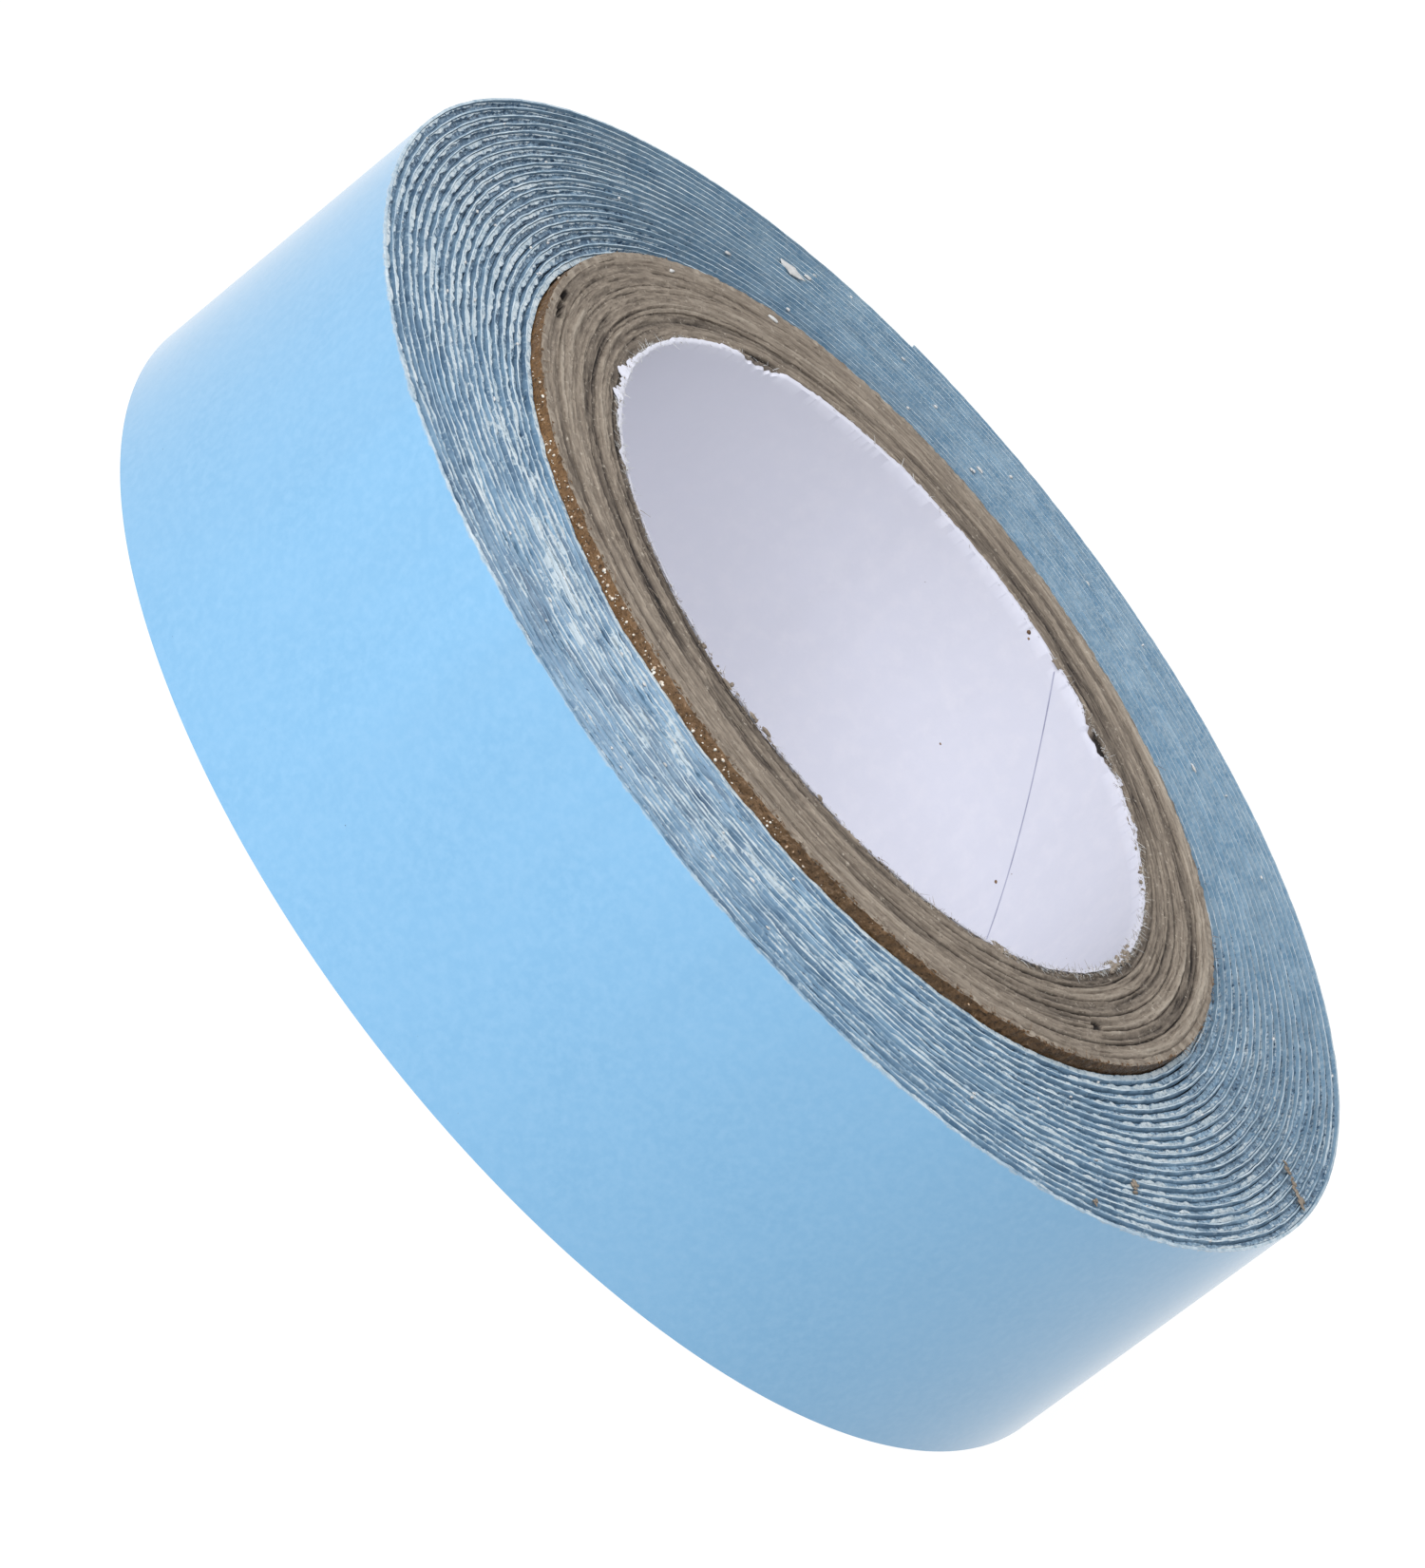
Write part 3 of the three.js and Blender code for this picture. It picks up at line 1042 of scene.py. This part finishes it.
def torn_rims():
    """What stands out of the torn rims of the core."""
    bore_rim = node_radii("core_ply_1")[0]
    outer_rim = node_radii("kraft_ply")[1]
    white, board, kraft = (LOOSE_PAPER, "white_paper"), (BOARD, "grey_board"), (KRAFT, "kraft_paper")
    crumbs("kraft_crumbs", KRAFT_CRUMBS, outer_rim, (-0.10, -0.02), (0.012, 0.050), kraft, 301)
    crumbs("board_crumbs", BOARD_CRUMBS, bore_rim, (-0.03, 0.22), (0.012, 0.045), board, 310)
    crumbs("board_flakes", FLAKES, bore_rim, (-0.12, 0.16), (0.030, 0.150), board, 307)
    fuzz("rim_fuzz", WHITE_FIBRES, bore_rim, (-0.09, 0.12), (-0.3, 1.0), white, 302)
    fuzz("board_fuzz", BOARD_FIBRES, bore_rim, (-0.02, 0.14), (-0.7, 0.2), board, 309)
    fuzz("kraft_fuzz", KRAFT_FIBRES, outer_rim, (-0.12, 0.0), (0.0, 0.8), kraft, 308)


def board_fibres():
    """Fibres of board that lie on its cut end, mostly along the plies."""
    random = np.random.default_rng(303)
    inner, outer = node_radii("core_ply_1")[0], node_radii("core_ply_6")[1]
    shapes = []
    for _ in range(LYING_FIBRE_COUNT):
        degrees = random.uniform(0, 360)
        axes = axes_at(degrees)
        direction = axes[0] * random.choice([-1, 1]) + axes[1] * random.normal(0, 0.16)
        height = CORE_TOP + random.uniform(-0.02, 0.015) * MM
        start = at(degrees, random.uniform(inner, outer), height)
        length = random.uniform(0.2, 0.9) * MM
        shapes.append(fibre(start, direction, length, random.uniform(0.006, 0.014) * MM, random))
    loose_piece("board_fibres", shapes, BOARD, "grey_board")


# Pale chips of paper: angle in degrees, radius and half sizes along and across in mm.
PAPER_CHIPS = (
    (127.0, 20.9, 0.58, 0.36),
    (124.6, 21.35, 0.22, 0.10),
    (138.5, 19.1, 0.20, 0.07),
    (136.0, 15.9, 0.26, 0.12),
    (157.5, 15.9, 0.16, 0.09),
    (129.5, 18.1, 0.10, 0.06),
    (99.0, 19.6, 0.16, 0.06),
    (61.0, 20.4, 0.18, 0.07),
)


def paper_chips():
    """Chips of paper that lie on the end of the roll, a few large and many tiny."""
    random = np.random.default_rng(304)
    shapes = []
    for degrees, radius, half_length, half_width in PAPER_CHIPS:
        level = CORE_TOP if radius * MM < TAPE_START else TAPE_TOP
        half_sizes = (half_length, half_width, 0.05)
        shapes.append(lump(degrees, radius * MM, level + 0.01 * MM, half_sizes, random))
    for _ in range(TINY_CHIP_COUNT):
        degrees = random.uniform(0, 360)
        half_sizes = random.uniform(0.02, 0.06, 3) * (1.8, 1, 1)
        radius = random.uniform(16.8, 23.2) * MM
        shapes.append(lump(degrees, radius, TAPE_TOP - 0.01 * MM, half_sizes, random))
    loose_piece("paper_chips", shapes, LOOSE_PAPER, "adhesive_tissue")


# Crumbs in the bore: angle in degrees, height and half size in mm.
BORE_SPECKS = (
    (73.2, 7.33, 0.035),
    (46.8, 7.58, 0.020),
    (47.5, 6.90, 0.055),
    (78.8, 12.36, 0.075),
    (77.9, 12.22, 0.045),
    (20.0, 9.2, 0.015),
    (95.0, 10.4, 0.015),
)


def bore_specks():
    """Crumbs that stick to the lining of the bore."""
    random = np.random.default_rng(305)
    wall = node_radii("bore_lining")[0]
    shapes = []
    for degrees, height, half_size in BORE_SPECKS:
        half_sizes = np.array([1.3, 0.3, 1.0]) * half_size
        shapes.append(lump(degrees, wall, height * MM, half_sizes, random))
    loose_piece("bore_specks", shapes, KRAFT, "kraft_paper")


# Bits of the core on the wound tape, each a row of crumbs: the angle in degrees and the radius
# in mm at its two ends, the number of crumbs, and their largest half size in mm.
BROWN_BITS = (
    ((3.6, 21.5), (1.9, 22.1), 5, 0.13),
    ((1.7, 22.3), (-0.1, 23.1), 9, 0.17),
    ((330.6, 21.0), (329.8, 21.5), 7, 0.15),
    ((322.0, 22.6), (321.6, 22.8), 3, 0.10),
)


def brown_bits():
    """Bits of the core that lie on the wound tape."""
    random = np.random.default_rng(306)
    shapes = []
    for start, end, count, largest in BROWN_BITS:
        for degrees, radius in np.linspace(start, end, count):
            half_sizes = random.uniform(0.35, 1.0, 3) * largest * (1, 1, 0.5)
            degrees += random.normal(0, 0.18)
            radius = (radius + random.normal(0, 0.06)) * MM
            shapes.append(lump(degrees, radius, TAPE_TOP + 0.02 * MM, half_sizes, random))
    loose_piece("brown_bits", shapes, BOARD, "grey_board")


# ---------- the studio

CAMERA_ELEVATION = math.radians(21.18)
CAMERA_ROLL = math.radians(52.09)
CAMERA_DISTANCE = 280.8 * MM
CAMERA_LENS_MM = 193.7
CAMERA_SENSOR_MM = 36
AIM_RIGHT = -5.79 * MM
AIM_UP = -4.38 * MM

FLOOR_WIDTH = 12.0
FLOOR_GAP = 0.02 * MM
WORLD_STRENGTH = 0.43


def make_camera():
    """The camera looks down on the core's top face and is rolled, so the roll stands tilted."""
    centre = Vector((0, 0, CORE_TOP))
    away = Vector((0, -math.cos(CAMERA_ELEVATION), math.sin(CAMERA_ELEVATION)))
    level_right = Vector((1, 0, 0))
    level_up = away.cross(level_right)
    right = math.cos(CAMERA_ROLL) * level_right + math.sin(CAMERA_ROLL) * level_up
    up = away.cross(right)
    position = centre + CAMERA_DISTANCE * away
    aim = centre + AIM_RIGHT * right + AIM_UP * up

    back = (position - aim).normalized()
    right = (right - right.dot(back) * back).normalized()
    up = back.cross(right)
    data = bpy.data.cameras.new("camera")
    data.lens = CAMERA_LENS_MM
    data.sensor_width = CAMERA_SENSOR_MM
    data.clip_start = 0.01
    camera = bpy.data.objects.new("camera", data)
    turn = Matrix((right, up, back)).transposed().to_4x4()
    camera.matrix_world = Matrix.Translation(position) @ turn
    bpy.context.scene.collection.objects.link(camera)
    bpy.context.scene.camera = camera


def make_floor():
    """A wide pale floor that glows a little, so that it stays white under the roll."""
    material, shader, _ = new_material("pale_floor")
    set_inputs(shader, {"Base Color": (0.12, 0.12, 0.12, 1), "Roughness": 1.0})
    set_inputs(shader, {"Emission Color": (1, 1, 1, 1), "Emission Strength": 0.94})
    set_inputs(shader, {"Specular IOR Level": 0.0})
    half = FLOOR_WIDTH / 2
    mesh = bpy.data.meshes.new("floor")
    level = -FLOOR_GAP
    corners = [(-half, -half, level), (half, -half, level), (half, half, level), (-half, half, level)]
    mesh.from_pydata(corners, [], [(0, 1, 2, 3)])
    mesh.materials.append(material)
    floor = bpy.data.objects.new("floor", mesh)
    bpy.context.scene.collection.objects.link(floor)


def make_world():
    """An even white studio."""
    world = bpy.data.worlds.new("studio")
    world.use_nodes = True
    background = world.node_tree.nodes["Background"]
    background.inputs["Color"].default_value = (1, 1, 1, 1)
    background.inputs["Strength"].default_value = WORLD_STRENGTH
    bpy.context.scene.world = world


def make_light(name, azimuth, elevation, distance, size, power):
    """A square soft light that faces the roll. Its angles are in degrees."""
    data = bpy.data.lights.new(name, "AREA")
    data.size = size
    data.energy = power
    light = bpy.data.objects.new(name, data)
    azimuth, elevation = math.radians(azimuth), math.radians(elevation)
    level = math.cos(elevation)
    towards = Vector((level * math.cos(azimuth), level * math.sin(azimuth), math.sin(elevation)))
    light.location = towards * distance
    light.rotation_euler = towards.to_track_quat("Z", "Y").to_euler()
    bpy.context.scene.collection.objects.link(light)


def make_studio():
    make_camera()
    make_floor()
    make_world()
    make_light("key_softbox", azimuth=240, elevation=45, distance=0.6, size=0.7, power=5.9)
    bpy.context.scene.view_settings.view_transform = "Standard"


# ---------- build

make_studio()
bore_lining()
for ply_number in range(1, BOARD_PLIES + 1):
    board_ply(ply_number)
kraft_ply()
lining_seam()
wound_part()
free_end()
glue_beads()
torn_rims()
board_fibres()
paper_chips()
bore_specks()
brown_bits()
